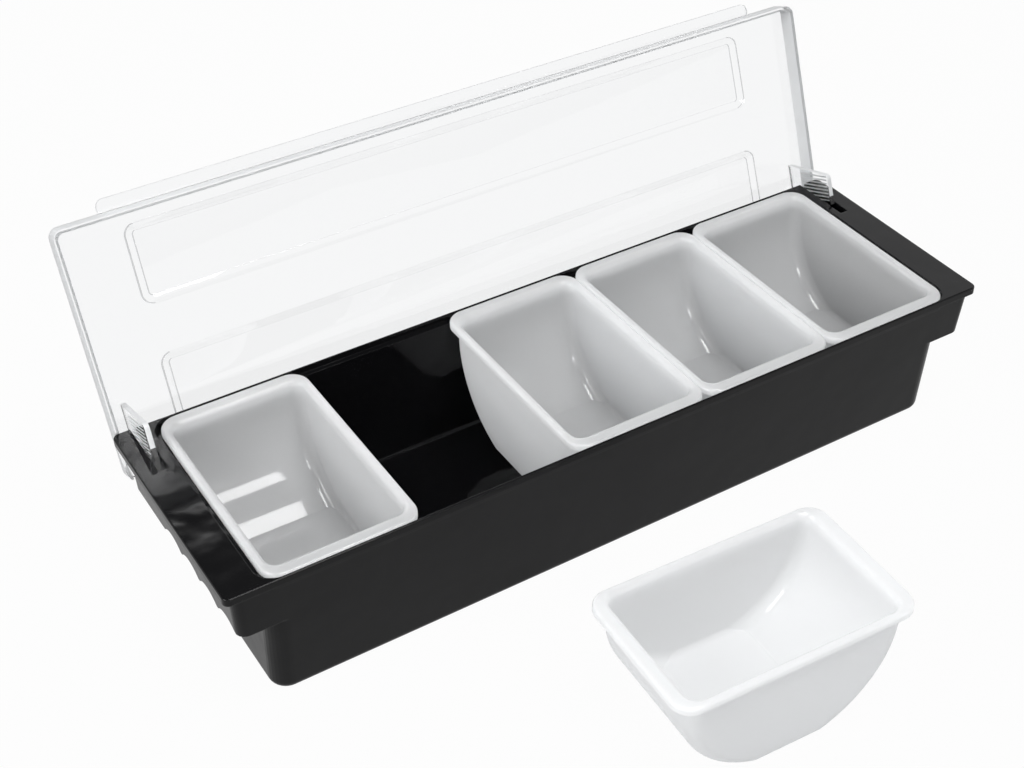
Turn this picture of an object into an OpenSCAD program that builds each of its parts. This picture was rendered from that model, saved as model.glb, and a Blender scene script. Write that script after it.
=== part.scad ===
// Bar condiment caddy: a tray with five lift-out pans under one long hinged lid.
// X runs along the tray, -Y is its front, Z is up, and Z = 0 is the table that it stands on.
// The lid stands open, one pan is lifted out, and that pan stands in front of the tray.

/* [Pans] */
// Width of a pan's rim, along the tray
pan_width = 89.6; // [84:0.1:94]
// Depth of a pan's rim, front to back
pan_depth = 145.6; // [130:0.1:155]
// Height of a pan
pan_height = 69.5; // [55:0.1:74]
// Wall thickness of a pan
pan_wall = 2; // [1.5:0.1:2.6]
// Thickness of the rim
rim_thickness = 4.3; // [4.2:0.1:5]
// Outer corner radius of the rim
rim_radius = 11.5; // [9:0.5:14]
// Radius of the rim's outer upper edge
rim_edge = 1.8; // [1:0.1:2.2]
// Radius between the rim's upper face and the inside of the pan
mouth_edge = 3; // [1:0.1:3.2]
// How far the rim reaches past the body at the front and back
rim_reach = 6.8; // [6.4:0.1:11]
// How far the rim reaches past the body at the sides
rim_side = 3.2; // [3:0.1:4.5]
// Depth of the centre of the round ends below the top of the rim
end_centre_drop = 9.7; // [9:0.1:14]
// Radius of the round edges between a pan's sides and its ends
pan_edge = 9; // [5:0.5:9]
// Radius between a pan's sides and its floor
pan_floor_edge = 5; // [3:0.5:6]
// Gap between the rims of two neighbouring pans
pan_gap = 0.3; // [0.3:0.1:2]
// Gap between the rims and the recess in front of them and behind them
recess_gap = 0.4; // [0.4:0.1:1.2]
// Length of the recess that the row of pans leaves free
row_slack = 8.8; // [6:0.1:16]
// Gap between the rim of the last pan and the right end of the recess
right_gap = 1; // [0.6:0.1:2]
// Gap between the rim of the first pan and the left end of the recess
left_gap = 3.6; // [1:0.1:5]
// Gap between the rims and the ledge that they rest on
seat_gap = 0.1; // [0.05:0.05:0.3]
// Gap between the outer pans and the end walls at the floor
pan_clearance = 0.4; // [0.4:0.1:2]
// Place of the lifted-out pan's centre, to the right of the tray's centre
spare_right = -18; // [-150:0.5:150]
// How far the lifted-out pan is turned from along the tray, in degrees
spare_turn = -2.5; // [-4:0.1:4]
// Gap between the lifted-out pan and the tray's front edge
spare_gap = 78.5; // [20:0.5:150]

/* [Tray] */
// Height from the table to the top of the flange
tray_height = 88.5; // [80:0.5:110]
// Width of the flange at each end, outside the recess
end_flange = 21; // [20.9:0.1:28]
// Width of the flange in front of the recess and behind it
side_flange = 1.3; // [1.3:0.1:6]
// Thickness of the flange plate
flange_thickness = 3; // [2.4:0.1:4]
// Corner radius of the flange
flange_radius = 4; // [3:0.5:10]
// Radius of the flange's upper edge
flange_edge = 0.8; // [0.4:0.1:1.4]
// Height of the lip that is turned down round the flange
lip_height = 4.6; // [4.2:0.1:7]
// Thickness of the lip
lip_thickness = 2; // [1.5:0.1:3]
// How far the lip stands out from the front and back walls
lip_proud = 0.5; // [0.3:0.1:1.2]
// Depth of the ledge for the rims below the top of the flange
ledge_drop = 4; // [3.6:0.1:4.3]
// Width of the ledge at the front and back
ledge_width = 3; // [2.6:0.1:6]
// Thickness of the end walls
tray_wall = 1.8; // [1.8:0.1:2.6]
// Thickness of the collar round the ends of the recess
collar_wall = 2.6; // [2.4:0.1:4]
// Thickness of the floor
floor_thickness = 3; // [2:0.1:5]
// How far the front and back walls lean in from the flange to the table
wall_lean = 5.4; // [4:0.1:6.4]
// How far the inside of those walls leans in from the ledge to the floor
cavity_lean = 3.4; // [2.8:0.1:6]
// How far the end walls lean in from the flange to the table
end_lean = 0.5; // [0.3:0.1:2]
// Corner radius of the body
body_radius = 11; // [9:0.5:14]
// Radius where the outside of the walls meets the underside
foot_radius = 6; // [4:0.5:8]
// Radius where the inside of the walls meets the floor
cavity_edge = 3; // [1:0.5:5]

/* [End grips] */
// How far the end skirts hang below the top of the flange
skirt_drop = 33; // [24:0.5:40]
// Thickness of the end skirts
skirt_thickness = 2.5; // [1.8:0.1:2.8]
// How far the end skirts are set back under the lip
skirt_inset = 4; // [3.6:0.1:5]
// How far the end skirts lean in from the flange to their lower edge
skirt_lean = 1.8; // [0.5:0.1:3]
// Distance from the tray's back edge to the back end of a skirt
skirt_gap = 12.8; // [10:0.1:20]
// Radius of the skirts' lower edge
skirt_edge = 1; // [0.5:0.1:1.2]
// Corner radius of the skirts
skirt_radius = 6; // [4.5:0.5:10]
// Number of finger scallops in a skirt
scallop_count = 4; // [2:1:5]
// Width of a finger scallop
scallop_width = 22.5; // [16:0.1:23]
// Depth of a finger scallop
scallop_depth = 5.7; // [3:0.1:8]
// Width of the nub between two scallops
nub_width = 0.7; // [0.5:0.1:4]
// Distance from the tray's front edge to the first scallop
scallop_margin = 6.6; // [5:0.1:12]

/* [Lid] */
// Height of the shut lid over the flange
lid_height = 13.5; // [11:0.1:18]
// Gap between the walls of the shut lid and the flange
lid_gap = 1.3; // [1.1:0.1:2]
// Distance from the tray's ends to the lid's front corners
lid_inset = 1.2; // [1:0.1:2.5]
// How much narrower each side of the lid is at the hinge than at the front
lid_taper = 1.9; // [0:0.1:2.2]
// Distance from the tray's front edge to the front of the shut lid
lid_setback = 5.1; // [2:0.1:8]
// How far the shut lid reaches past the tray's back edge
lid_overhang = 3.8; // [3.4:0.1:4.4]
// Thickness of the panel
panel_thickness = 2; // [1.5:0.1:3]
// Thickness of the walls round the panel
lid_wall = 2.2; // [1.5:0.1:2.6]
// Corner radius of the lid
lid_radius = 6; // [4:0.5:8]
// Radius of the lid's upper edges
lid_edge = 1; // [0.5:0.1:1.4]
// Distance from the lid's rear edge to the ends of its side walls
wall_stop = 2.6; // [2.2:0.1:6]
// How far the finger tab reaches out from the front wall
tab_reach = 7.5; // [5:0.1:14]
// Length of the finger tab
tab_length = 440; // [200:1:460]
// Thickness of the finger tab
tab_thickness = 1.8; // [1.2:0.1:3]
// Corner radius of the finger tab
tab_radius = 4.5; // [2:0.5:4.5]
// Length of the two raised fields
field_length = 418; // [300:1:430]
// Width of the two raised fields
field_width = 47; // [30:0.5:50]
// Height of the raised fields
field_height = 1.2; // [0.6:0.1:1.8]
// Width of the slope round a raised field
field_slope = 4.8; // [2.5:0.1:6]
// Corner radius of the raised fields
field_radius = 7; // [6.5:0.5:12]
// Distance from the lid's front to the first field
field_front = 10; // [6:0.5:14]
// Distance from the lid's rear edge to the second field
field_back = 15.2; // [8:0.1:18]

/* [Hinge] */
// How far the lid stands open from shut, in degrees
open_angle = 111.5; // [95:0.5:112]
// Distance from the tray's back edge to the hinge axis
hinge_inset = 13.9; // [13.6:0.1:16]
// Depth of the hinge axis below the top of the flange
hinge_drop = 9.1; // [9:0.1:10]
// Distance from the tray's end to the middle of an ear
ear_inset = 13.7; // [13:0.1:14.2]
// Thickness of an ear
ear_thickness = 3; // [2:0.1:4]
// Distance from the hinge axis to the front edge of an ear
ear_front = 22.3; // [16:0.1:24]
// How much further an ear's front edge reaches at the panel than at its lower end
ear_slant = 3; // [0:0.1:5]
// Distance from the hinge axis to the rear edge of an ear
ear_back = 15; // [12:0.1:15.4]
// Distance from the hinge axis to the lower end of an ear
ear_drop = 18.5; // [16:0.1:20]
// Corner radius of an ear's lower front end
ear_nose = 3; // [1:0.5:6]
// Corner radius of an ear's lower rear end
ear_heel = 14; // [8:0.5:14]
// Gap between an ear and each side of its slot
slot_gap = 1.4; // [0.5:0.1:1.6]
// Gap between the sweep of an ear and the front end of its slot
slot_clearance = 0.6; // [0.4:0.1:3]
// Diameter of the stub pins on the ears
pin_diameter = 6; // [4:0.1:8]
// Radial gap between a stub pin and its hole
pin_gap = 0.06; // [0.03:0.01:0.1]
// Thickness of the cheeks that carry the stub pins
cheek_thickness = 2; // [1.5:0.1:2.2]
// Depth of the cheeks and of the pocket between them below the top of the flange
pocket_drop = 24; // [18:0.5:27]
// Width of the cheeks behind the hole
cheek_rim = 4.4; // [3:0.1:5]

/* [Hidden] */
$fn = 48;
hull_fn = 32;
cut = 1;
sliver = 0.01;

// The row of pans, and the recess and the cavity that take it
pan_count = 5;
pan_pitch = pan_width + pan_gap;
recess_length = (pan_count - 1) * pan_pitch + pan_width + row_slack;
last_place = recess_length / 2 - right_gap - pan_width / 2;
first_place = left_gap + pan_width / 2 - recess_length / 2;
recess_depth = pan_depth + 2 * recess_gap;
tray_length = recess_length + 2 * end_flange;
tray_depth = recess_depth + 2 * side_flange;
floor_half = last_place + pan_width / 2 - rim_side + pan_clearance;
cavity_half = floor_half + end_lean;
cavity_top = tray_height - ledge_drop;
pan_rim_top = cavity_top + seat_gap + rim_thickness;

// A pan's body, from the top of its rim
body_half = pan_width / 2 - rim_side;
end_radius = pan_depth / 2 - rim_reach;

// The walls' faces at a height over the table
function wall_face(z) = tray_depth / 2 - lip_proud - wall_lean * (tray_height - z) / tray_height;
function end_face(z) = cavity_half + tray_wall - end_lean * (tray_height - z) / tray_height;
function skirt_face(z) = tray_length / 2 - skirt_inset - skirt_lean * (tray_height - z) / skirt_drop;

// The hinge axis, the lid over it and the sweep of the ears
pivot_y = tray_depth / 2 - hinge_inset;
pivot_z = tray_height - hinge_drop;
lid_top = tray_height + lid_height;
lid_foot = tray_height + lid_gap;
lid_front = -tray_depth / 2 + lid_setback;
lid_back = tray_depth / 2 + lid_overhang;
lid_half = tray_length / 2 - lid_inset;
ear_x = tray_length / 2 - ear_inset;
ear_sweep = norm([ear_front - ear_nose, ear_drop - ear_nose]) + ear_nose;
slot_reach = sqrt(pow(ear_sweep, 2) - pow(hinge_drop - flange_thickness, 2)) + slot_clearance;
slot_width = ear_thickness + 2 * slot_gap;
relief_radius = norm([hinge_inset, hinge_drop]) + slot_clearance;

// A flat plate with round corners, on the XY plane
module plate(length, depth, radius, thickness) {
    linear_extrude(thickness) plate_outline(length, depth, radius);
}

module plate_outline(length, depth, radius) {
    square([length - 2 * radius, depth], center = true);
    square([length, depth - 2 * radius], center = true);
    for (x = [-1, 1], y = [-1, 1])
        translate([x * (length / 2 - radius), y * (depth / 2 - radius)]) circle(radius);
}

// Half of a section, with a round upper corner at x = reach
module edge_outline(reach, height, edge) {
    square([reach - edge, height]);
    square([reach, height - edge]);
    translate([reach - edge, height - edge]) circle(edge);
}

// Half of a section that flares out at its upper end
module flare_outline(reach, edge) {
    difference() {
        square([reach + edge, edge + cut]);
        translate([reach + edge, 0]) circle(edge);
    }
}

// Sweeps half a section round a rectangle with round corners; the section reads $reach
module sweep_round(length, depth, radius) {
    section_bar(length - 2 * radius) let ($reach = depth / 2) children();
    rotate([0, 0, 90]) section_bar(depth - 2 * radius) let ($reach = length / 2) children();
    for (turn = [0, 180]) rotate([0, 0, turn]) {
        translate([length / 2 - radius, depth / 2 - radius, 0])
            rotate_extrude(angle = 90) let ($reach = radius) children();
        translate([radius - length / 2, depth / 2 - radius, 0])
            rotate([0, 0, 90]) rotate_extrude(angle = 90) let ($reach = radius) children();
    }
}

module section_bar(length) {
    rotate([90, 0, 90]) linear_extrude(length, center = true) {
        children();
        mirror([1, 0]) children();
    }
}

// A plate with round corners whose upper edge is round as well
module soft_plate(length, depth, radius, height, edge) {
    sweep_round(length, depth, radius) edge_outline($reach, height, edge);
}

// What rounds the upper edge of an opening outwards, from the edge's radius below Z = 0
module opening_flare(length, depth, radius, edge) {
    translate([0, 0, -edge]) sweep_round(length, depth, radius) flare_outline($reach, edge);
}

// A block whose walls lean: its half sizes are given at the top and at the foot
module leaning_block(top, foot, z_top, z_foot, radius, edge) {
    rise = z_top - z_foot;
    lean = top - foot;
    slope = [sqrt(1 + pow(lean.x / rise, 2)), sqrt(1 + pow(lean.y / rise, 2))];
    low = foot + lean * edge / rise - edge * slope - [radius - edge, radius - edge];
    hull() for (x = [-1, 1], y = [-1, 1]) {
        translate([x * (top.x - radius), y * (top.y - radius), z_top - sliver])
            cylinder(r = radius, h = sliver, $fn = hull_fn);
        translate([x * low.x, y * low.y, z_foot])
            rotate_extrude($fn = hull_fn) foot_outline(radius, edge, $fn = hull_fn);
    }
}

// Half of a foot's section, with a round lower corner
module foot_outline(radius, edge) {
    intersection() {
        square([radius, edge]);
        union() {
            square([radius - edge, edge]);
            translate([radius - edge, edge]) circle(edge);
        }
    }
}

// ---- tray ----

module tray() {
    color([0.05, 0.05, 0.055]) difference() {
        union() {
            tray_body();
            flange();
            for (side = [0, 1]) mirror([side, 0, 0]) {
                end_skirt();
                hinge_pocket();
            }
        }
        tray_cavity();
        for (side = [0, 1]) mirror([side, 0, 0]) {
            hinge_slot();
            hinge_bores();
        }
    }
}

module tray_body() {
    top = tray_height - flange_thickness / 2;
    leaning_block([end_face(top), wall_face(top)], [end_face(0), wall_face(0)], top, 0,
        body_radius, foot_radius);
    // The collar under the flange, round the recess
    collar_depth = 2 * wall_face(cavity_top);
    translate([0, 0, cavity_top - collar_wall])
        plate(recess_length + 2 * collar_wall, collar_depth, rim_radius + recess_gap,
            ledge_drop + collar_wall - flange_thickness / 2);
}

module tray_cavity() {
    leaning_block([cavity_half, recess_depth / 2 - ledge_width],
        [floor_half, recess_depth / 2 - ledge_width - cavity_lean],
        tray_height + cut, floor_thickness, body_radius - tray_wall, cavity_edge);
    translate([0, 0, cavity_top])
        plate(recess_length, recess_depth, rim_radius + recess_gap, ledge_drop + cut);
}

module flange() {
    translate([0, 0, tray_height - lip_height]) difference() {
        soft_plate(tray_length, tray_depth, flange_radius, lip_height, flange_edge);
        translate([0, 0, -cut])
            plate(tray_length - 2 * lip_thickness, tray_depth - 2 * lip_thickness,
                flange_radius - lip_thickness, lip_height - flange_thickness + cut);
    }
}

// The right-hand skirt, with its return to the front wall and its finger scallops
module end_skirt() {
    top = tray_height - flange_thickness / 2;
    foot = tray_height - skirt_drop;
    wall = [skirt_thickness, skirt_thickness];
    top_size = [skirt_face(top), wall_face(top)];
    foot_size = [skirt_face(foot), wall_face(foot)];
    back = tray_depth / 2 - skirt_gap;
    corner = end_face(tray_height) - body_radius;
    difference() {
        leaning_block(top_size, foot_size, top, foot, skirt_radius, skirt_edge);
        leaning_block(top_size - wall, foot_size - wall, top + cut, foot - skirt_edge - cut,
            skirt_radius - skirt_thickness, skirt_edge);
        translate([corner - tray_length, -tray_depth, foot - cut])
            cube([tray_length, 2 * tray_depth, skirt_drop + 2 * cut]);
        translate([0, back, foot - cut]) cube([tray_length, tray_depth, skirt_drop + 2 * cut]);
        finger_scallops(foot);
    }
}

module finger_scallops(foot) {
    radius = (pow(scallop_width / 2, 2) + pow(scallop_depth, 2)) / (2 * scallop_depth);
    first = -tray_depth / 2 + scallop_margin + scallop_width / 2;
    for (i = [0 : scallop_count - 1])
        translate([end_face(0), first + i * (scallop_width + nub_width), foot + scallop_depth - radius])
            rotate([0, 90, 0]) cylinder(r = radius, h = tray_length);
}

// The pocket under a slot: its two cheeks carry the stub pins, and its back and bottom are open
module hinge_pocket() {
    front = ear_sweep + slot_clearance;
    back = pin_diameter / 2 + cheek_rim;
    height = pocket_drop - flange_thickness / 2;
    translate([ear_x - slot_width / 2, pivot_y - front, tray_height - pocket_drop]) difference() {
        translate([-cheek_thickness, -cheek_thickness, 0])
            cube([slot_width + 2 * cheek_thickness, front + back + cheek_thickness, height]);
        translate([0, 0, -cut]) cube([slot_width, front + back + cut, height + 2 * cut]);
    }
}

module hinge_slot() {
    translate([ear_x - slot_width / 2, pivot_y - slot_reach, tray_height - lip_height - cut])
        cube([slot_width, slot_reach + tray_depth, lip_height + 2 * cut]);
}

module hinge_bores() {
    translate([ear_x, pivot_y, pivot_z]) rotate([0, 90, 0])
        cylinder(d = pin_diameter + 2 * pin_gap, h = slot_width + 2 * cheek_thickness + cut, center = true);
}

// ---- lid ----

// The lid stands open: it is drawn shut and turned back about the hinge axis
module lid() {
    color([0.93, 0.95, 0.96, 0.4])
        translate([0, pivot_y, pivot_z]) rotate([-open_angle, 0, 0])
            translate([0, -pivot_y, -pivot_z]) shut_lid();
}

module shut_lid() {
    difference() {
        union() {
            lid_shell();
            finger_tab();
            for (y = field_rows()) translate([0, y, lid_top - sliver])
                raised_field(0, field_height + sliver);
        }
        for (y = field_rows()) translate([0, y, lid_top - panel_thickness - cut])
            raised_field(cut, field_height + cut);
    }
    for (side = [0, 1]) mirror([side, 0, 0]) {
        ear();
        stub_pins();
    }
}

// The places of the two fields' middles
function field_rows() =
    [lid_front + field_front + field_width / 2, lid_back - field_back - field_width / 2];

// The lid's outline, wider at the front than at the hinge
module lid_outline(inset, back) {
    taper = lid_taper / (lid_back - lid_front);
    radius = lid_radius - inset;
    for (x = [-1, 1]) {
        translate([x * (lid_half - inset - radius - taper * lid_radius), lid_front + inset + radius, 0])
            children();
        translate([x * (lid_half - inset - radius - taper * (back - lid_front)), back - radius, 0])
            children();
    }
}

module lid_shell() {
    difference() {
        hull() lid_outline(0, lid_back) translate([0, 0, lid_foot])
            rotate_extrude($fn = hull_fn) edge_outline(lid_radius, lid_top - lid_foot, lid_edge);
        hull() lid_outline(lid_wall, lid_back + 2 * lid_radius) translate([0, 0, lid_foot - cut])
            cylinder(r = lid_radius - lid_wall, h = lid_top - lid_foot - panel_thickness + cut, $fn = hull_fn);
        // The side walls end in the rear corners and clear the flange as the lid turns
        translate([-lid_half, lid_back - wall_stop, lid_foot - cut])
            cube([2 * lid_half, 2 * lid_radius, lid_top - lid_foot - panel_thickness + cut]);
        translate([0, pivot_y, pivot_z]) rotate([0, 90, 0])
            cylinder(r = relief_radius, h = 2 * lid_half, center = true);
    }
}

module finger_tab() {
    reach = tab_reach + lid_wall;
    translate([0, lid_front + lid_wall - reach / 2, lid_top - lid_edge - tab_thickness])
        plate(tab_length, reach, tab_radius, tab_thickness);
}

// A raised field with sloping sides, deep enough to reach below the panel
module raised_field(below, height) {
    base = [field_length / 2 - field_radius, field_width / 2 - field_radius];
    top_radius = field_radius - field_slope;
    hull() for (x = [-1, 1], y = [-1, 1]) translate([x * base.x, y * base.y, 0]) {
        cylinder(r = field_radius, h = below + sliver, $fn = hull_fn);
        cylinder(r = top_radius, h = below + height, $fn = hull_fn);
    }
}

// An ear hangs from the panel through its slot, and its outline is drawn about the hinge axis
module ear() {
    rise = lid_top - panel_thickness / 2 - pivot_z;
    translate([ear_x - ear_thickness / 2, pivot_y, pivot_z])
        rotate([90, 0, 90]) linear_extrude(ear_thickness) {
            translate([-ear_front, ear_nose - ear_drop])
                square([ear_front + ear_back - ear_heel, rise + ear_drop - ear_nose]);
            polygon([[-ear_front - ear_slant, rise], [-ear_front, ear_nose - ear_drop],
                [0, ear_nose - ear_drop], [0, rise]]);
            translate([ear_nose - ear_front, -ear_drop])
                square([ear_front + ear_back - ear_nose - ear_heel, rise + ear_drop]);
            translate([ear_back - ear_heel - sliver, ear_heel - ear_drop])
                square([ear_heel + sliver, rise + ear_drop - ear_heel]);
            translate([ear_nose - ear_front, ear_nose - ear_drop]) circle(ear_nose);
            translate([ear_back - ear_heel, ear_heel - ear_drop]) circle(ear_heel);
        }
}

module stub_pins() {
    translate([ear_x, pivot_y, pivot_z]) rotate([0, 90, 0])
        cylinder(d = pin_diameter, h = slot_width + 2 * cheek_thickness, center = true);
}

// ---- pans ----

// A pan with the middle of its rim's upper face at the origin
module pan() {
    color([0.9, 0.91, 0.92, 0.9]) difference() {
        union() {
            pan_form(0, pan_height);
            translate([0, 0, -rim_thickness])
                soft_plate(pan_width, pan_depth, rim_radius, rim_thickness, rim_edge);
        }
        pan_form(pan_wall, pan_height - pan_wall);
        opening_flare(2 * (body_half - pan_wall), 2 * (end_radius - pan_wall), pan_edge - pan_wall, mouth_edge);
    }
}

// A pan's solid form, set in by a wall: a drum with round edges, cut flat at the bottom
module pan_form(inset, depth) {
    half = body_half - inset;
    radius = end_radius - inset;
    edge = pan_edge - inset;
    floor_edge = pan_floor_edge - inset;
    over = inset > 0 ? cut : 0;
    intersection() {
        union() {
            translate([0, 0, -end_centre_drop])
                plate(2 * half, 2 * radius, edge, end_centre_drop + over);
            translate([0, 0, -end_centre_drop]) rotate([0, 90, 0]) rotate([0, 0, -90])
                rotate_extrude(angle = 180) drum_outline(half, radius, edge);
        }
        translate([0, 0, -depth]) rotate([90, 0, 0]) linear_extrude(2 * radius + 2 * cut, center = true)
            trough_outline(half, depth + over, floor_edge);
    }
}

// Half of a drum's section, with round edges
module drum_outline(half, radius, edge) {
    for (side = [0, 1]) mirror([0, side]) edge_outline(radius, half, edge);
}

// A pan's section across the tray, with round lower corners
module trough_outline(half, height, edge) {
    for (side = [0, 1]) mirror([side, 0])
        translate([0, height]) mirror([0, 1]) edge_outline(half, height, edge);
}

// The first pan lies at the left end of the recess and the others touch at its right end
module pan_in_place(place) {
    x = place == 1 ? first_place : last_place - (pan_count - place) * pan_pitch;
    translate([x, 0, pan_rim_top]) pan();
}

// The pan of the empty place stands on the table in front of the tray, turned to lie along it
module pan_lifted_out() {
    translate([spare_right, -tray_depth / 2 - spare_gap - pan_width / 2, pan_height])
        rotate([0, 0, 90 + spare_turn]) pan();
}

tray();
lid();
pan_in_place(1);  // pan_1
pan_lifted_out();  // pan_2
pan_in_place(3);  // pan_3
pan_in_place(4);  // pan_4
pan_in_place(5);  // pan_5
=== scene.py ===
"""Looks and studio for a bar condiment caddy: a black tray, five milky pans, a clear hinged lid."""

import math

import bmesh
import bpy
from bpy.props import FloatProperty, FloatVectorProperty, IntProperty, PointerProperty
from mathutils import Matrix, Vector


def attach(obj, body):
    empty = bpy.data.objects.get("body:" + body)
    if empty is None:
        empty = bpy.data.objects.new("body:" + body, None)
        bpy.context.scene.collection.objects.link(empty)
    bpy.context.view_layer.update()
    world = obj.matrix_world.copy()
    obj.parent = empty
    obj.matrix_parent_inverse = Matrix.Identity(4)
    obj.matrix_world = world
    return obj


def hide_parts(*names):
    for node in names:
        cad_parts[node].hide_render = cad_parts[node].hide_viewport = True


bl_info = {
    "name": "Condiment Caddy",
    "version": (1, 0, 0),
    "blender": (4, 5, 0),
    "location": "View3D > Sidebar > Caddy",
    "description": "Dresses a condiment caddy's tray, lid and pans and sets up its studio",
    "category": "Object",
}

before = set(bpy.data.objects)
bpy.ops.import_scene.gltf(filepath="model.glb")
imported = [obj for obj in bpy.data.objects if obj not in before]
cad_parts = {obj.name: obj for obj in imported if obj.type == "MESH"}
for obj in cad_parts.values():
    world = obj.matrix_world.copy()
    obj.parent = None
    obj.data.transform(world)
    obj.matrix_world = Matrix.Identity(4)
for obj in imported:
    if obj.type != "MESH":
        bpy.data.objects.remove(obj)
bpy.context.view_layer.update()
MM = 0.001
PANS = [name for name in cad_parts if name.startswith("pan_")]

# The hinge axis, and how far the lid stands open
HINGE = Vector((0, 60.6, 79.4)) * MM
OPEN = math.radians(111.5)

# The shut lid's ears: their middle plane on either side, a border that holds half their
# thickness, how high they reach, and where their heel begins, whose faces inside the slots carry
# painted shade
EAR_X = 236.3 * MM
EAR_BORDER = 1.8 * MM
EAR_TOP = HINGE.z + 12 * MM
HEEL = HINGE + Vector((0, -8, 0)) * MM

# The shut lid's raised fields: their height, and a border that holds them all
FIELD_HEIGHT = 1.2 * MM
FIELDS_X = 212 * MM
FIELDS_Y = 66 * MM

# The shut lid's outer walls stand beyond these places
SIDE_WALLS_X = 244 * MM
FRONT_WALL_Y = HINGE.y - 124 * MM

# The middle of the first rib on the outside of an ear, in mm from the hinge axis
FIRST_RIB = (237.7, -20.6, -3)

# The lid's material slots after the first one, which holds the clear plastic: the field edges with
# painted shade, the frosted edges, and painted shade on the ears inside the tray's slots
SHADED_EDGE, FROSTED, PAINTED_SHADE = 1, 2, 3

# Angles between two faces of the lid: up to the first they are merged into one flat face, past
# the second they meet at a raised field's edge, and past the third their edge is shaded sharp
FLAT_ANGLE = math.radians(0.3)
FIELD_ANGLE = math.radians(6)
SHARP_ANGLE = math.radians(25)

# How close points lie that are one point, and how far one may lie from its level
MERGE_DISTANCE = 1e-6
LEVEL_PLAY = 0.02 * MM

CLEAR_IOR = 1.49
PAN_IOR = 1.6
WHITE = (1, 1, 1, 1)

# Name, place, target, size in metres and power in watts of each lamp
SOFTBOXES = (
    ("front_softbox", (0.08, -1.57, 1.22), (-0.1, 0, 0.05), (0.76, 0.35), 8.5),
    ("top_softbox", (0.02, -0.5, 1.9), (-0.1, 0, 0.05), (0.95, 0.6), 20.5),
    ("left_softbox", (-1.5, -0.2, 0.95), (0, 0, 0.05), (0.9, 0.9), 18),
    ("back_softbox", (0.22, 1.64, 1.48), (-0.25, 0, 0.09), (0.9, 0.18), 1.5),
)


# ---- settings ----


class StudioSettings(bpy.types.PropertyGroup):
    """The camera, the floor and the surroundings."""

    camera_place: FloatVectorProperty(
        name="Camera place", description="Where the camera stands",
        subtype="TRANSLATION", unit="LENGTH", default=(-0.4343, -0.6437, 0.6867))
    camera_azimuth: FloatProperty(
        name="Azimuth", description="How far the camera stands round from the front",
        subtype="ANGLE", unit="ROTATION", default=math.radians(-31.6233))
    camera_elevation: FloatProperty(
        name="Elevation", description="How far the camera looks down",
        subtype="ANGLE", unit="ROTATION", default=math.radians(38.5315))
    camera_roll: FloatProperty(
        name="Roll", description="How far the camera is turned about its view axis",
        subtype="ANGLE", unit="ROTATION", default=math.radians(-0.416))
    lens: FloatProperty(
        name="Focal length", description="Focal length on a 36 mm sensor",
        default=59.53, min=10, max=200)
    floor_size: FloatProperty(
        name="Floor", description="Length of the square floor's sides", unit="LENGTH", default=12)
    floor_glow: FloatProperty(
        name="Floor glow", description="Share of its own light in the white floor",
        default=0.97, min=0, max=1)
    mirrored_glow: FloatProperty(
        name="Mirrored glow", description="Share of its own light where the floor is mirrored",
        default=0.42, min=0, max=1)
    sky_edge: FloatProperty(
        name="Edge of the white",
        description="Height angle above which mirrored surroundings are dark",
        subtype="ANGLE", unit="ROTATION", default=math.radians(41.6))
    dark_sky: FloatProperty(
        name="Mirrored dark", description="Strength of the mirrored surroundings above that edge",
        default=0.16, min=0, max=1)
    sky_light: FloatProperty(
        name="Light from all sides", description="Strength of the surroundings as a light",
        default=0.28, min=0, max=1)


class CaddyColours(bpy.types.PropertyGroup):
    """The colours of the mouldings, with painted shade on the lid's field edges and its ears in the
    tray's slots.
    """

    tray: FloatVectorProperty(
        name="Tray", description="Colour of the tray's plastic", subtype="COLOR",
        min=0, max=1, default=(0.004, 0.004, 0.0045))
    pan: FloatVectorProperty(
        name="Pans", description="Colour of the pans' plastic", subtype="COLOR",
        min=0, max=1, default=(0.9, 0.905, 0.91))
    pan_through: FloatProperty(
        name="Milkiness", description="Share of the light that passes through the pans' walls",
        default=0.64, min=0, max=1)
    lid: FloatVectorProperty(
        name="Lid", description="Colour of the lid's clear plastic", subtype="COLOR",
        min=0, max=1, default=(0.935, 0.94, 0.945))
    # Painted shade: grey on the rounded edges of the raised fields, standing in for the thin grey
    # lines that refraction at these edges makes
    lid_edge_shade: FloatVectorProperty(
        name="Lid edges", description="Colour of the rounded edges of the lid's raised fields",
        subtype="COLOR", min=0, max=1, default=(0.45, 0.455, 0.46))
    frosted: FloatVectorProperty(
        name="Frosted edges", description="Colour of the lid's frosted edges and ribs",
        subtype="COLOR", min=0, max=1, default=(0.85, 0.86, 0.87))
    # Painted shade: near-black on the lid's ears where they stand inside the tray's unlit slots
    heel_shade: FloatVectorProperty(
        name="Heels", description="Colour of the lid's ears inside the tray's slots",
        subtype="COLOR", min=0, max=1, default=(0.01, 0.01, 0.01))


class LidSizes(bpy.types.PropertyGroup):
    """The small forms of the clear lid."""

    edge_radius: FloatProperty(
        name="Edge", description="Width of the rounded edges of the raised fields",
        unit="LENGTH", default=0.4 * MM)
    rib_count: IntProperty(
        name="Ribs", description="Number of ribs on the outside of an ear", default=8, min=1)
    rib_pitch: FloatProperty(
        name="Rib pitch", description="Distance between two ribs", unit="LENGTH", default=2.3 * MM)
    rib_width: FloatProperty(
        name="Rib width", description="Width of a rib", unit="LENGTH", default=0.9 * MM)
    rib_length: FloatProperty(
        name="Rib length", description="Length of a rib", unit="LENGTH", default=25 * MM)


# ---- materials ----


def new_material(name, colour, roughness, **sockets):
    """A new material, its node tree and its Principled shader."""
    material = bpy.data.materials.new(name)
    material.use_nodes = True
    shader = material.node_tree.nodes["Principled BSDF"]
    shader.inputs["Base Color"].default_value = (*colour, 1)
    shader.inputs["Roughness"].default_value = roughness
    for socket, value in sockets.items():
        shader.inputs[socket.replace("_", " ")].default_value = value
    return material, material.node_tree, shader


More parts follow.
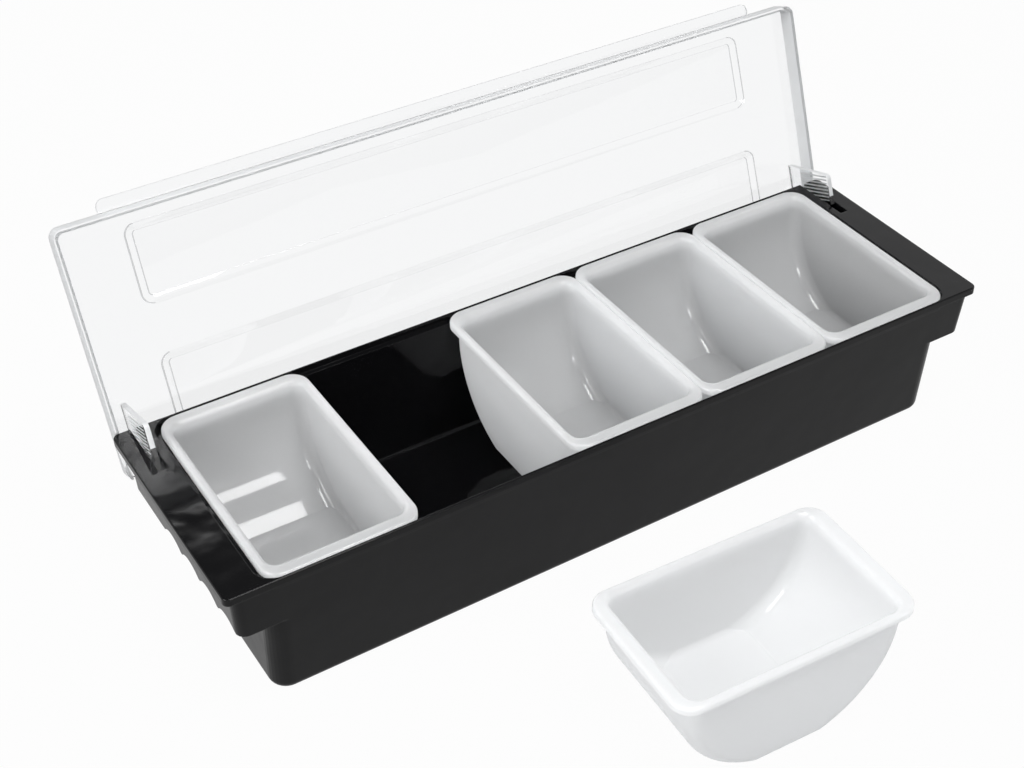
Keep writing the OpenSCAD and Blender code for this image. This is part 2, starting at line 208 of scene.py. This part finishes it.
def noise(tree, scale, detail):
    """A noise texture on Object coordinates; the scale is in features per metre."""
    place = tree.nodes.new("ShaderNodeTexCoord")
    texture = tree.nodes.new("ShaderNodeTexNoise")
    texture.inputs["Scale"].default_value = scale
    texture.inputs["Detail"].default_value = detail
    tree.links.new(place.outputs["Object"], texture.inputs["Vector"])
    return texture.outputs["Fac"]


def remap(tree, value, span, result):
    """Maps a value's span, from low to high, to that of the result."""
    node = tree.nodes.new("ShaderNodeMapRange")
    node.inputs["From Min"].default_value, node.inputs["From Max"].default_value = span
    node.inputs["To Min"].default_value, node.inputs["To Max"].default_value = result
    tree.links.new(value, node.inputs["Value"])
    return node.outputs["Result"]


def bump(tree, height, distance, below=None):
    """A bump of a real height in metres, laid over another one if it is given."""
    node = tree.nodes.new("ShaderNodeBump")
    node.inputs["Strength"].default_value = 1
    node.inputs["Distance"].default_value = distance
    tree.links.new(height, node.inputs["Height"])
    if below:
        tree.links.new(below, node.inputs["Normal"])
    return node.outputs["Normal"]


def soft_edges(tree, radius):
    """Normals that round the piece's sharp edges."""
    node = tree.nodes.new("ShaderNodeBevel")
    node.samples = 6
    node.inputs["Radius"].default_value = radius
    return node.outputs["Normal"]


def mix_shaders(tree, share, first, second):
    """Two shaders mixed; the share of the second one is a number or a socket."""
    mix = tree.nodes.new("ShaderNodeMixShader")
    if isinstance(share, float):
        mix.inputs["Fac"].default_value = share
    else:
        tree.links.new(share, mix.inputs["Fac"])
    tree.links.new(first, mix.inputs[1])
    tree.links.new(second, mix.inputs[2])
    return mix.outputs["Shader"]


def tray_plastic(colour):
    """Glossy black plastic with slow sink waves and a fine moulding grain."""
    material, tree, shader = new_material(
        "tray_plastic", colour, roughness=0.08, Specular_IOR_Level=0.22)
    edges = soft_edges(tree, radius=0.6 * MM)
    waves = bump(tree, noise(tree, scale=34, detail=2), distance=0.4 * MM, below=edges)
    grain = bump(tree, noise(tree, scale=2600, detail=2), distance=0.003 * MM, below=waves)
    tree.links.new(grain, shader.inputs["Normal"])
    patches = noise(tree, scale=60, detail=3)
    roughness = remap(tree, patches, span=(0.3, 0.7), result=(0.05, 0.11))
    tree.links.new(roughness, shader.inputs["Roughness"])
    return material


def pan_plastic(colour, through):
    """Milky glossy plastic whose thin walls let light through."""
    material, tree, shader = new_material(
        "pan_plastic", colour, roughness=0.07, Specular_IOR_Level=1, IOR=PAN_IOR)
    tree.links.new(soft_edges(tree, radius=0.5 * MM), shader.inputs["Normal"])
    milk = tree.nodes.new("ShaderNodeBsdfTranslucent")
    milk.inputs["Color"].default_value = (*colour, 1)
    mixed = mix_shaders(tree, through, shader.outputs["BSDF"], milk.outputs["BSDF"])
    tree.links.new(mixed, tree.nodes["Material Output"].inputs["Surface"])
    return material


def clear_plastic(name, colour, roughness):
    """Clear polished plastic with slow waves."""
    material, tree, shader = new_material(
        name, colour, roughness, Transmission_Weight=1, IOR=CLEAR_IOR)
    waves = bump(tree, noise(tree, scale=30, detail=1), distance=0.1 * MM)
    tree.links.new(waves, shader.inputs["Normal"])
    return material


def frosted_plastic(colour):
    """The lid's plastic where its edges and ribs are rough."""
    material, _, _ = new_material(
        "frosted_edge", colour, roughness=0.4, Transmission_Weight=0.35, IOR=CLEAR_IOR)
    return material


def dress(piece, material):
    """Gives a piece one material in all its slots."""
    if not piece.data.materials:
        piece.data.materials.append(material)
    for slot in piece.material_slots:
        slot.material = material


# ---- stage ----


def make_camera(scene, studio):
    """A camera set by its place, the two view angles and its roll."""
    azimuth, elevation = studio.camera_azimuth, studio.camera_elevation
    back = Vector((
        math.sin(azimuth) * math.cos(elevation),
        -math.cos(azimuth) * math.cos(elevation),
        math.sin(elevation)))
    right = Vector((0, 0, 1)).cross(back).normalized()
    turn = Matrix.Rotation(studio.camera_roll, 3, back)
    axes = Matrix((turn @ right, turn @ back.cross(right), back)).transposed()
    data = bpy.data.cameras.new("camera")
    data.lens, data.sensor_width = studio.lens, 36
    camera = bpy.data.objects.new("camera", data)
    camera.matrix_world = Matrix.Translation(studio.camera_place) @ axes.to_4x4()
    scene.collection.objects.link(camera)
    scene.camera = camera


def ray_share(tree, camera, glossy, transmission):
    """The share that each kind of ray gets; all other rays get none."""
    path = tree.nodes.new("ShaderNodeLightPath")
    total = None
    for ray, share in (("Camera", camera), ("Glossy", glossy), ("Transmission", transmission)):
        part = tree.nodes.new("ShaderNodeMath")
        part.operation = "MULTIPLY"
        part.inputs[1].default_value = share
        tree.links.new(path.outputs[f"Is {ray} Ray"], part.inputs[0])
        if total:
            larger = tree.nodes.new("ShaderNodeMath")
            larger.operation = "MAXIMUM"
            tree.links.new(total, larger.inputs[0])
            tree.links.new(part.outputs[0], larger.inputs[1])
            total = larger.outputs[0]
        else:
            total = part.outputs[0]
    return total


def make_floor(scene, studio):
    """A floor that is white where it is seen and still takes the object's shadow."""
    half = studio.floor_size / 2
    corners = [(-half, -half, 0), (half, -half, 0), (half, half, 0), (-half, half, 0)]
    mesh = bpy.data.meshes.new("floor")
    mesh.from_pydata(corners, [], [(0, 1, 2, 3)])
    floor = bpy.data.objects.new("floor", mesh)
    scene.collection.objects.link(floor)
    material, tree, shader = new_material("floor", colour=(0.3, 0.3, 0.3), roughness=0.9)
    glow = tree.nodes.new("ShaderNodeEmission")
    glowing = ray_share(tree, studio.floor_glow, studio.mirrored_glow, studio.floor_glow)
    mixed = mix_shaders(tree, glowing, shader.outputs["BSDF"], glow.outputs["Emission"])
    tree.links.new(mixed, tree.nodes["Material Output"].inputs["Surface"])
    mesh.materials.append(material)


def make_world(scene, studio):
    """White where it is seen, dark overhead where it is mirrored, and softer where it lights."""
    world = bpy.data.worlds.new("studio")
    world.use_nodes = True
    scene.world = world
    tree = world.node_tree
    lighting = tree.nodes["Background"]
    seen, mirrored = (tree.nodes.new("ShaderNodeBackground") for _ in range(2))
    for shader in (lighting, seen, mirrored):
        shader.inputs["Color"].default_value = WHITE
    lighting.inputs["Strength"].default_value = studio.sky_light
    place = tree.nodes.new("ShaderNodeTexCoord")
    height = tree.nodes.new("ShaderNodeSeparateXYZ")
    tree.links.new(place.outputs["Generated"], height.inputs[0])
    edge, softness = math.sin(studio.sky_edge), 0.01
    span = (edge - softness, edge + softness)
    fade = remap(tree, height.outputs["Z"], span, result=(1, studio.dark_sky))
    tree.links.new(fade, mirrored.inputs["Strength"])
    below = lighting.outputs["Background"]
    for shares, shader in (((0, 1, 0), mirrored), ((1, 0, 1), seen)):
        below = mix_shaders(tree, ray_share(tree, *shares), below, shader.outputs["Background"])
    tree.links.new(below, tree.nodes["World Output"].inputs["Surface"])


def make_lamps(scene):
    """Soft area lamps, each facing its target."""
    for name, place, target, size, watts in SOFTBOXES:
        data = bpy.data.lights.new(name, "AREA")
        data.shape = "RECTANGLE"
        data.size, data.size_y = size
        data.energy = watts
        lamp = bpy.data.objects.new(name, data)
        lamp.location = place
        away = Vector(place) - Vector(target)
        lamp.rotation_euler = away.to_track_quat("Z", "Y").to_euler()
        scene.collection.objects.link(lamp)


class CADDY_OT_stage(bpy.types.Operator):
    """Makes the white floor, the soft lamps, the world and the camera"""

    bl_idname = "caddy.make_stage"
    bl_label = "Stage"

    def execute(self, context):
        studio = context.scene.caddy_studio
        make_camera(context.scene, studio)
        make_floor(context.scene, studio)
        make_world(context.scene, studio)
        make_lamps(context.scene)
        context.scene.view_settings.view_transform = "Standard"
        return {"FINISHED"}


# ---- tray ----


class CADDY_OT_tray(bpy.types.Operator):
    """Gives the tray its black plastic"""

    bl_idname = "caddy.make_tray"
    bl_label = "Tray"

    def execute(self, context):
        dress(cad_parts["tray"], tray_plastic(context.scene.caddy_colours.tray))
        return {"FINISHED"}


# ---- lid ----


def shut_to_open():
    """Turns what is made on the shut lid to where the lid stands."""
    turn = Matrix.Rotation(-OPEN, 4, "X")
    return Matrix.Translation(HINGE) @ turn @ Matrix.Translation(-HINGE)


def add_piece(context, name, mesh, materials):
    """A finished piece that belongs to the lid."""
    for material in materials:
        mesh.materials.append(material)
    piece = bpy.data.objects.new(name, mesh)
    context.scene.collection.objects.link(piece)
    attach(piece, "lid")
    return piece


def on_ear(face):
    """Whether a face of the shut lid belongs to an ear."""
    middle = face.calc_center_median()
    return abs(abs(middle.x) - EAR_X) < EAR_BORDER and middle.z < EAR_TOP


def field_edges(form):
    """The edges of the shut lid's raised fields, at their top and at their foot."""
    top = max(vert.co.z for vert in form.verts)
    levels = (top, top - FIELD_HEIGHT)
    edges = []
    for edge in form.edges:
        ends = [vert.co for vert in edge.verts]
        level = any(all(abs(end.z - height) < LEVEL_PLAY for end in ends) for height in levels)
        inside = all(abs(end.x) < FIELDS_X and abs(end.y) < FIELDS_Y for end in ends)
        bent = len(edge.link_faces) == 2 and edge.calc_face_angle(0) > FIELD_ANGLE
        if level and inside and bent:
            edges.append(edge)
    return edges


def cut_ears(form):
    """Cuts the shut lid's ears where the part inside the tray's slots, which gets painted shade,
    begins.
    """
    ears = [face for face in form.faces if on_ear(face)]
    edges = {edge for face in ears for edge in face.edges}
    verts = {vert for face in ears for vert in face.verts}
    bmesh.ops.bisect_plane(
        form, geom=[*ears, *edges, *verts], plane_co=HEEL, plane_no=(0, 1, 0))


def fix_order(form):
    """Puts points and faces in an order that is the same on every run, which a cut doesn't."""
    for index, vert in enumerate(sorted(form.verts, key=lambda vert: tuple(vert.co))):
        vert.index = index
    form.verts.sort()
    faces = sorted(form.faces, key=lambda face: sorted(vert.index for vert in face.verts))
    for index, face in enumerate(faces):
        face.index = index
    form.faces.sort()


def sort_faces(form):
    """Gives the shut lid's ears and outer walls their material slots, with painted shade inside the
    tray's slots.
    """
    for face in form.faces:
        middle = face.calc_center_median()
        on_wall = abs(middle.x) > SIDE_WALLS_X or middle.y < FRONT_WALL_Y
        steep = abs(face.normal.z) < 0.9
        narrow = abs(face.normal.x) < 0.5
        in_slot = middle.y > HEEL.y and middle.z < HINGE.z
        if on_ear(face):
            if narrow:
                # Narrow ear faces inside the slot get painted shade, the others the frosted plastic
                face.material_index = PAINTED_SHADE if in_slot else FROSTED
        elif on_wall and steep:
            face.material_index = FROSTED


def lid_mesh(source, edge_radius):
    """The lid with rounded edges on its raised fields, which get painted shade, and its faces
    sorted by material.
    """
    form = bmesh.new()
    form.from_mesh(source)
    bmesh.ops.remove_doubles(form, verts=form.verts, dist=MERGE_DISTANCE)
    bmesh.ops.dissolve_limit(
        form, angle_limit=FLAT_ANGLE, verts=form.verts, edges=form.edges)
    form.transform(shut_to_open().inverted())
    # The rounded field edges go to the slot with painted shade
    bmesh.ops.bevel(
        form, geom=field_edges(form), offset=edge_radius, segments=2, profile=0.5,
        affect="EDGES", material=SHADED_EDGE)
    cut_ears(form)
    fix_order(form)
    sort_faces(form)
    form.transform(shut_to_open())
    for face in form.faces:
        face.smooth = True
    for edge in form.edges:
        edge.smooth = len(edge.link_faces) == 2 and edge.calc_face_angle(0) < SHARP_ANGLE
    mesh = bpy.data.meshes.new("lid_form")
    form.to_mesh(mesh)
    form.free()
    return mesh


def rib_tree():
    """Geometry nodes: a row of round ribs with named sizes."""
    tree = bpy.data.node_groups.new("ear_ribs", "GeometryNodeTree")
    inputs = {
        "Count": "Int", "Pitch": "Float", "Width": "Float", "Length": "Float",
        "Material": "Material"}
    for name, kind in inputs.items():
        tree.interface.new_socket(name, in_out="INPUT", socket_type=f"NodeSocket{kind}")
    tree.interface.new_socket("Geometry", in_out="OUTPUT", socket_type="NodeSocketGeometry")
    make, link = tree.nodes.new, tree.links.new
    sizes = make("NodeGroupInput").outputs
    step = make("ShaderNodeCombineXYZ")
    link(sizes["Pitch"], step.inputs["Y"])
    row = make("GeometryNodeMeshLine")
    link(sizes["Count"], row.inputs["Count"])
    link(step.outputs[0], row.inputs["Offset"])
    half = make("ShaderNodeMath")
    half.operation = "MULTIPLY"
    half.inputs[1].default_value = 0.5
    link(sizes["Width"], half.inputs[0])
    rib = make("GeometryNodeMeshCylinder")
    rib.inputs["Vertices"].default_value = 10
    link(half.outputs[0], rib.inputs["Radius"])
    link(sizes["Length"], rib.inputs["Depth"])
    place = make("GeometryNodeInstanceOnPoints")
    link(row.outputs["Mesh"], place.inputs["Points"])
    link(rib.outputs["Mesh"], place.inputs["Instance"])
    real = make("GeometryNodeRealizeInstances")
    link(place.outputs["Instances"], real.inputs["Geometry"])
    finish = make("GeometryNodeSetMaterial")
    link(real.outputs["Geometry"], finish.inputs["Geometry"])
    link(sizes["Material"], finish.inputs["Material"])
    link(finish.outputs["Geometry"], make("NodeGroupOutput").inputs["Geometry"])
    return tree


def run_tree(context, tree, values):
    """The plain mesh that a tree makes from these values."""
    holder = bpy.data.objects.new(tree.name, bpy.data.meshes.new(tree.name))
    context.scene.collection.objects.link(holder)
    modifier = holder.modifiers.new(tree.name, "NODES")
    modifier.node_group = tree
    for item in tree.interface.items_tree:
        if item.in_out == "INPUT":
            modifier[item.identifier] = values[item.name]
    depsgraph = context.evaluated_depsgraph_get()
    made = holder.evaluated_get(depsgraph)
    mesh = bpy.data.meshes.new_from_object(made, depsgraph=depsgraph)
    holder.modifiers.remove(modifier)
    bpy.data.objects.remove(holder)
    return mesh


def ribs_mesh(context, sizes, material):
    """The ribs on the outside of both ears."""
    row = run_tree(context, rib_tree(), {
        "Count": sizes.rib_count, "Pitch": sizes.rib_pitch, "Width": sizes.rib_width,
        "Length": sizes.rib_length, "Material": material})
    out, along, up = FIRST_RIB
    ribs = bmesh.new()
    for side in (-1, 1):
        start = HINGE + Vector((side * out, along, up)) * MM
        row.transform(Matrix.Translation(start))
        ribs.from_mesh(row)
        row.transform(Matrix.Translation(-start))
    ribs.transform(shut_to_open())
    mesh = bpy.data.meshes.new("ear_ribs")
    ribs.to_mesh(mesh)
    ribs.free()
    return mesh


class CADDY_OT_lid(bpy.types.Operator):
    """Makes the clear lid and the ribs on its ears"""

    bl_idname = "caddy.make_lid"
    bl_label = "Lid"

    def execute(self, context):
        sizes, colours = context.scene.caddy_lid, context.scene.caddy_colours
        clear = clear_plastic("clear_plastic", colours.lid, roughness=0.02)
        # Painted shade: the grey clear plastic on the rounded field edges
        edge = clear_plastic("clear_edge_shade", colours.lid_edge_shade, roughness=0.15)
        frosted = frosted_plastic(colours.frosted)
        # Painted shade for the ears inside the tray's slots
        dark = clear_plastic("clear_painted_shade", colours.heel_shade, roughness=0.1)
        form = lid_mesh(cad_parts["lid"].data, sizes.edge_radius)
        lid = add_piece(context, "clear_lid", form, (clear, edge, frosted, dark))
        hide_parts("lid")
        ribs = ribs_mesh(context, sizes, frosted)
        add_piece(context, "ear_ribs", ribs, (frosted,))
        return {"FINISHED"}


# ---- pans ----


class CADDY_OT_pans(bpy.types.Operator):
    """Gives the five pans their milky plastic"""

    bl_idname = "caddy.make_pans"
    bl_label = "Pans"

    def execute(self, context):
        colours = context.scene.caddy_colours
        material = pan_plastic(colours.pan, colours.pan_through)
        for name in PANS:
            dress(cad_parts[name], material)
        return {"FINISHED"}


# ---- add-on ----


OPERATORS = (CADDY_OT_stage, CADDY_OT_tray, CADDY_OT_lid, CADDY_OT_pans)


class CADDY_PT_panel(bpy.types.Panel):
    """Lists the caddy's operators and settings"""

    bl_idname = "CADDY_PT_panel"
    bl_label = "Condiment Caddy"
    bl_space_type = "VIEW_3D"
    bl_region_type = "UI"
    bl_category = "Caddy"

    def draw(self, context):
        for operator in OPERATORS:
            self.layout.operator(operator.bl_idname)
        scene = context.scene
        for settings in (scene.caddy_studio, scene.caddy_colours, scene.caddy_lid):
            for name in settings.__annotations__:
                self.layout.prop(settings, name)


CLASSES = (StudioSettings, CaddyColours, LidSizes, *OPERATORS, CADDY_PT_panel)


def register():
    """Registers the classes and puts their settings on the scene."""
    for item in CLASSES:
        bpy.utils.register_class(item)
    bpy.types.Scene.caddy_studio = PointerProperty(type=StudioSettings)
    bpy.types.Scene.caddy_colours = PointerProperty(type=CaddyColours)
    bpy.types.Scene.caddy_lid = PointerProperty(type=LidSizes)


def unregister():
    """Takes the settings and the classes away again."""
    del bpy.types.Scene.caddy_lid
    del bpy.types.Scene.caddy_colours
    del bpy.types.Scene.caddy_studio
    for item in reversed(CLASSES):
        bpy.utils.unregister_class(item)


def main():
    """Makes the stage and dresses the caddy."""
    register()
    bpy.ops.caddy.make_stage()
    bpy.ops.caddy.make_tray()
    bpy.ops.caddy.make_lid()
    bpy.ops.caddy.make_pans()


if __name__ == "__main__":
    main()
